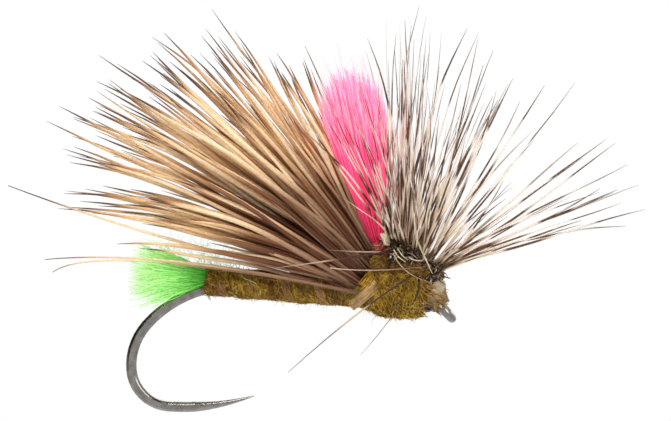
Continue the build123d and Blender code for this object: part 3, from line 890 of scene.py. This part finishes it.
for details in (
    ("post_yarn_heart", 340, (0.0, 0.75), (0.86, 1.04), 0.06, (0.026, 0.040), (0.14, 1.0), "post_yarn"),
    ("post_yarn_skin", 320, (0.65, 1.0), (0.80, 1.08), 0.12, (0.018, 0.032), (0.0, 1.0), "post_yarn"),
    ("post_yarn_wisps", 150, (0.3, 1.12), (0.94, 1.22), 0.22, (0.010, 0.018), (0.0, 0.16)),
):
    post_fibres(*details)


# ---- Grizzly hackle ----

loop_span = loop_front - loop_rear
loop_heading = unit(loop_span)
loop_up = np.array((-loop_heading[2], 0.0, loop_heading[0]))
# degrees that barbs lean back, or forward if negative, by the share of the way along the winding
BARB_LEANS = ([0, 0.3, 0.65, 0.84, 1.0], [56, 40, 24, 0, -31])
STEEPEST_BACK, FURTHEST_FORWARD = 36, -31
WIDEST_SIDE = 68


def barbs(name, shares, count, *nodes):
    """Barbs that stand out from part of the winding."""
    along = chance.uniform(*shares, count)
    side = WIDEST_SIDE * chance.uniform(-1, 1, count)
    lean = np.interp(along, *BARB_LEANS) + chance.normal(0, 8, count)
    inner_ones = (np.abs(side) < 20) & (lean > STEEPEST_BACK)  # these would run through the post
    lean = np.maximum(np.where(inner_ones, STEEPEST_BACK, lean), FURTHEST_FORWARD)
    across_post = chance.random(count) < 0.09
    side = np.where(across_post, chance.uniform(-34, -14, count), side)
    lean = np.where(across_post, lean + 14, lean)
    lean = np.where(np.abs(side) > 45, np.maximum(lean, -10), lean)
    low_ones = (along > 0.8) & (chance.random(count) < 0.3)
    lean = np.where(low_ones, chance.uniform(-36, -20, count), lean)
    side = np.where(low_ones, 0.3 * side, side)
    lean, side = np.radians(lean), np.radians(side)
    points = loop_rear + loop_span * between(0.04, 0.97, along)[:, None]
    headings = turned(side, turned(lean, loop_up, -loop_heading), LEFT)
    lengths = chance.uniform(7.2, 11.0, count) * (1 - 0.28 * np.sin(side) ** 2)
    bends = np.clip(chance.normal(0, 13, count), -20, 20)
    steps = 14
    paths = curling_paths(points + headings * 0.12, headings, lengths, bends, steps, 0.04)
    radii = strand_radii((0.044, 0.082), count, BARB, steps)
    add_strands(name, paths, radii, 6, grizzly, "grizzly_barb", *nodes, flatness=0.6)


barbs("hackle_rear_barbs", (0.0, 0.33), 56, "hackle_barbs_rear")
barbs("hackle_middle_barbs", (0.33, 0.66), 62, "hackle_barbs_middle")
barbs("hackle_front_barbs", (0.66, 1.0), 52, "hackle_barbs_front")

# the quill's close turns, and the downy barb roots that crowd round them
STEPS_A_TURN = 20
turns = 8
steps = turns * STEPS_A_TURN
angles = np.linspace(0, FULL_TURN * turns, steps)
run = np.linspace(0.04, 0.96, steps) * np.linalg.norm(loop_span)
quill = wound_path(loop_rear, loop_heading, loop_up, angles, run, np.full(steps, 0.20))[None]
add_strands(
    "hackle_quill_turns", quill, 0.075, 8, quill_finish, "feather_stem", "hackle_quill",
    tones=[0.5], reference=loop_heading,
)

count = 1400
along = chance.uniform(0.0, 1.0, count)
radial = turned(chance.uniform(0, FULL_TURN, count), loop_up, LEFT)
headings = unit(radial + loop_heading * chance.normal(0, 0.8, (count, 1)) + 0.5 * any_direction(count))
lowered = loop_up * chance.uniform(0.0, 0.36, (count, 1))
points = loop_rear + loop_span * along[:, None] + radial * 0.10 - lowered
add_fibres(
    "hackle_dark_down", points, headings, (0.30, 0.78), 60, 0.3, (0.018, 0.036), DOWNY, FUR_STEPS, 5,
    dark_down, "grizzly_barb",
)

lump_centre = spot("hackle_loop", 0.96, 0.5, 0.0) - 0.10 * UP
matted_fur("hackle_foot_down", lump_centre, (0.34, 0.40, 0.26), 500, dark_down, "grizzly_barb")

# the feather's trimmed stem, split into a few cream ends
stem_root = spot("hackle_stem_butt", 1, 0.5, 0)
count = 11
roots = stem_root + chance.normal(0, 0.05, (count, 3)) + (-0.10, -0.40, -0.16)
headings = heading(chance.normal(106, 4, count), chance.normal(-4, 5, count))
add_fibres(
    "hackle_stem_end", roots, headings, (0.28, 0.56), 18, 0.0, (0.06, 0.10), CUT_SHORT, FUR_STEPS, 7,
    cream_stem, "feather_stem", "hackle_stem_butt",
)


# ---- Barbs and hairs that escaped the winding ----


def single_strands(name, anchor, strands, material, slot, *nodes):
    """Single strands as smooth curves. Each row gives one strand's radius, its tone, and three
    points that it passes through, from an anchor."""
    steps = 16
    share = np.linspace(0, 1, steps)[:, None]
    paths = []
    for row in strands:
        first, middle, last = anchor + np.array(row[2:])
        pull = 2 * middle - (first + last) / 2
        paths.append(first * (1 - share) ** 2 + 2 * pull * share * (1 - share) + last * share**2)
    radii = np.array([row[0] for row in strands])[:, None] * taper(LONG_STRAND, steps)
    tones = [row[1] for row in strands]
    add_strands(name, np.array(paths), radii, 6, material, slot, *nodes, tones=tones)


single_strands(
    "hackle_stray_barb_strands", loop_front,
    [
        (0.046, 0.5, (-1.12, -1.02, 0.00), (-3.68, -1.90, -1.99), (-6.45, -3.00, -4.55)),
        (0.024, 0.5, (-1.20, 1.20, -1.03), (-2.10, 1.80, -2.63), (-3.20, 2.40, -4.25)),
    ],
    stray_barb, "grizzly_barb", "hackle_stray_barbs",
)
single_strands(
    "hackle_bent_dark_barb", loop_front,
    [(0.052, 0.5, (-0.88, -1.00, -0.12), (-0.93, -1.16, -0.98), (-1.42, -1.10, -1.77))],
    dark_down, "grizzly_barb",
)
single_strands(
    "crossing_hairs", loop_front,
    [
        (0.028, 0.2, (-4.88, -1.95, 0.14), (-2.80, -1.45, 0.12), (-0.35, -0.90, 0.42)),
        (0.028, 0.5, (-2.10, -0.85, 0.86), (-1.34, -1.15, 0.06), (-0.15, -0.98, -0.32)),
        (0.034, 0.4, (-2.65, -0.75, 0.87), (-3.80, -1.25, 0.87), (-4.95, -1.80, 0.93)),
    ],
    pale_barb, "deer_hair",
)
single_strands(
    "crossing_dark_hair", loop_front,
    [(0.050, 0.5, (-2.25, -0.72, 0.93), (-4.75, -1.65, 0.47), (-7.30, -2.50, 0.04))],
    crossing_hair, "deer_hair",
)
single_strands(
    "winding_cream_strands", loop_front,
    [
        (0.046, 0.7, (-1.07, -0.95, 1.51), (-0.70, -1.00, 0.84), (-0.28, -0.90, 0.07)),
        (0.034, 0.4, (-2.08, -0.55, 1.00), (-1.84, -0.70, 0.70), (-1.48, -0.75, 0.49)),
        (0.030, 0.6, (-1.92, -0.60, 1.10), (-1.70, -0.72, 0.80), (-1.40, -0.80, 0.60)),
        (0.034, 0.9, (-1.38, -0.80, 0.74), (-1.05, -0.90, 0.62), (-0.65, -0.92, 0.70)),
    ],
    cream_stem, "grizzly_barb",
)
single_strands(
    "wing_long_hairs", wing_low,
    [
        (0.075, 0.7, (0.03, -1.05, 0.12), (-7.87, -1.25, 1.02), (-14.08, -1.55, 0.76)),
        (0.070, 0.6, (0.03, -0.95, 0.18), (-9.39, -0.95, 0.92), (-13.72, -1.05, 0.15)),
        (0.085, 0.9, (-0.07, -0.65, 0.47), (-8.32, -1.25, 1.97), (-15.92, -1.55, 3.97)),
    ],
    deer_hair, "deer_hair", "wing_stray_hairs",
)


# ---- Head: pale collar over a cone of brown thread ----

collar_axis = tilted(-28)
collar_centre = spot("head_collar_thread", 0.5, 0.5, 0.5)
collar_strands = 27
turn_angles = np.linspace(0, FULL_TURN, BAND_STEPS)
collar_turns = []
for turn in range(collar_strands):
    section = math.pi * turn / (collar_strands - 1)
    radius = 0.57 + 0.17 * math.sin(section) + chance.normal(0, 0.006)
    ring = band_paths(collar_centre, collar_axis, radius, 0.02 + 0.02 * chance.random(), 2)[0]
    ring += collar_axis * 0.02 * np.sin(turn_angles + chance.uniform(0, 6))[:, None]
    collar_turns.append(ring - collar_axis * 0.24 * math.cos(section))
add_strands(
    "head_collar_turns", np.array(collar_turns), 0.034, 6, collar_thread, "collar_thread",
    "head_collar_thread", reference=collar_axis,
)

head_rear = spot("head_thread", 0, 0.5, 0.5)
turns = 19
steps = turns * STEPS_A_TURN
share = np.linspace(0, 1, steps)
head_axis = tilted(8)
cone = np.interp(share, [0, 0.2, 0.55, 0.85, 1.0], [0.54, 0.60, 0.56, 0.46, 0.30])
cone += 0.012 * np.sin(share * 47) + 0.008 * np.sin(share * 131)
head = wound_path(head_rear, head_axis, UP, FULL_TURN * turns * share, 0.98 * share, cone)[None]
head[..., 2] += 0.26 * share

# the last turns crowd down over the rear of the eye
tip_turns = 7
tip_axis = tilted(-55)
tip_rear = head_rear + (0.58, 0, 0.10)
tip_radius = between(0.46, 0.37, share)
tip = wound_path(tip_rear, tip_axis, UP, FULL_TURN * tip_turns * share, 0.46 * share, tip_radius)[None]
tip[..., 1] *= 1.2
add_strands(
    "head_thread_turns", np.concatenate((head, tip)), 0.040, 6, head_thread, "head_thread",
    tones=[0.5, 0.4], reference=np.array((head_axis, tip_axis))[:, None],
)

# fur that runs forward from the thorax over the lower half of the collar
count = 620
ring = turned(np.radians(chance.uniform(55, 305, count)), UP, LEFT)
out, behind = chance.uniform(0.62, 0.80, (count, 1)), chance.uniform(0.1, 0.6, (count, 1))
roots = collar_centre + ring * out - collar_axis * behind
headings = unit(collar_axis + 0.15 * UP - 0.26 * ring + 0.13 * any_direction(count))
add_fibres(
    "head_draped_fur", roots, headings, (0.4, 0.95), 24, 0.3, (0.012, 0.022), TAPERED, 8, 4,
    drape_fur, "olive_dubbing",
)

# fibre ends caught under the head's last turns
count = 150
ring = turned(chance.uniform(0, FULL_TURN, count), UP, LEFT)
roots = head_rear + head_axis * chance.uniform(0.0, 0.35, (count, 1)) + ring * 0.56
roots[:, 2] += 0.03
headings = unit(head_axis + ring * chance.uniform(-0.3, 0.1, (count, 1)) + 0.2 * any_direction(count))
add_fibres(
    "head_fibre_ends", roots, headings, (0.25, 0.6), 50, 0.3, (0.012, 0.022), TAPERED, FUR_STEPS, 4,
    pale_fur, "olive_dubbing",
)


# ---- Floor, light and camera ----

floor_radius, floor_height, floor_corners = 0.5, -0.14, 96
floor_mesh = bpy.data.meshes.new("floor")
corner_angles = np.linspace(0, FULL_TURN, floor_corners, endpoint=False)
rim = [(floor_radius * math.cos(a), floor_radius * math.sin(a), floor_height) for a in corner_angles]
floor_mesh.from_pydata(rim, [], [list(range(floor_corners))])
floor = bpy.data.objects.new("floor", floor_mesh)
scene.collection.objects.link(floor)
paper = Finish("pale_paper")
paper_colour = paper.ramp(paper.speckle(per_mm=0.6), [(0.3, grey(0.90)), (0.7, grey(0.93))])
# the paper glows a little, as if lit from below, so that it stays pale
paper.shaded(Emission_Color=grey(1), Emission_Strength=0.24)
floor_mesh.materials.append(paper.shaded(Base_Color=paper_colour, Roughness=0.9))

# the camera sees plain white, and the fly is lit by a white studio that is dark overhead
world = bpy.data.worlds.new("studio")
scene.world = world
world.use_nodes = True
tree = world.node_tree
tree.nodes.clear()
direction = new_node(tree, "TexCoord").outputs["Generated"]
tilt = new_node(tree, "VectorRotate", Vector=direction, Angle=math.radians(32))
tilt.rotation_type = "Y_AXIS"
height = new_node(tree, "SeparateXYZ", Vector=tilt.outputs["Vector"])
sky = new_node(tree, "ValToRGB", Fac=height.outputs["Z"])
for element, (place, level) in zip(sky.color_ramp.elements, ((0.20, 1.0), (0.48, 0.05))):
    element.position = place
    element.color = grey(level)
fill = new_node(tree, "Background", Color=sky.outputs["Color"], Strength=0.88)
seen = new_node(tree, "Background", Color=grey(1), Strength=1.0)
choice = new_node(tree, "MixShader", Fac=new_node(tree, "LightPath").outputs["Is Camera Ray"])
tree.links.new(fill.outputs["Background"], choice.inputs[1])
tree.links.new(seen.outputs["Background"], choice.inputs[2])
new_node(tree, "OutputWorld", Surface=choice.outputs["Shader"])

middle = (cad_low + cad_high) / 2


def add_softbox(name, azimuth, elevation, distance, size, power):
    """A square soft light aimed at the fly. Azimuth 0 stands in front of its right side."""
    a, e = math.radians(azimuth), math.radians(elevation)
    back = Vector((math.sin(a) * math.cos(e), -math.cos(a) * math.cos(e), math.sin(e)))
    lamp = bpy.data.lights.new(name, "AREA")
    lamp.energy = power
    lamp.size = size
    holder = bpy.data.objects.new(name, lamp)
    holder.rotation_mode = "QUATERNION"
    holder.location = middle + back * distance
    holder.rotation_quaternion = (-back).to_track_quat("-Z", "Y")
    scene.collection.objects.link(holder)


add_softbox("key", azimuth=-35, elevation=48, distance=0.30, size=0.16, power=0.85)
add_softbox("side", azimuth=60, elevation=30, distance=0.32, size=0.18, power=0.40)
add_softbox("rear", azimuth=170, elevation=40, distance=0.32, size=0.20, power=0.45)

camera_data = bpy.data.cameras.new("camera")
camera = bpy.data.objects.new("camera", camera_data)
scene.collection.objects.link(camera)
camera_distance = 0.25
view_width = 0.0302
camera_data.sensor_width = 36  # millimetres, as the lens is
camera_data.lens = camera_data.sensor_width * camera_distance / view_width
camera_data.clip_start = 0.01
camera_data.clip_end = 3.0
roll, raised = math.radians(3.9), math.radians(6)
level_up = Vector((-math.sin(roll), 0, math.cos(roll)))
right = Vector((math.cos(roll), 0, math.sin(roll)))
back = Vector((0, -math.cos(raised), 0)) + level_up * math.sin(raised)
up = back.cross(right)
aim_from_hook = np.array((1.60, 0.0, 6.53))
aim = Vector(spot("hook", 0.5, 0.5, 0.5) + aim_from_hook) * MM
stand = Vector((aim.x, 0, aim.z)) + back * camera_distance
camera.matrix_world = Matrix.Translation(stand) @ Matrix((right, up, back)).transposed().to_4x4()
scene.camera = camera
scene.view_settings.view_transform = "Standard"
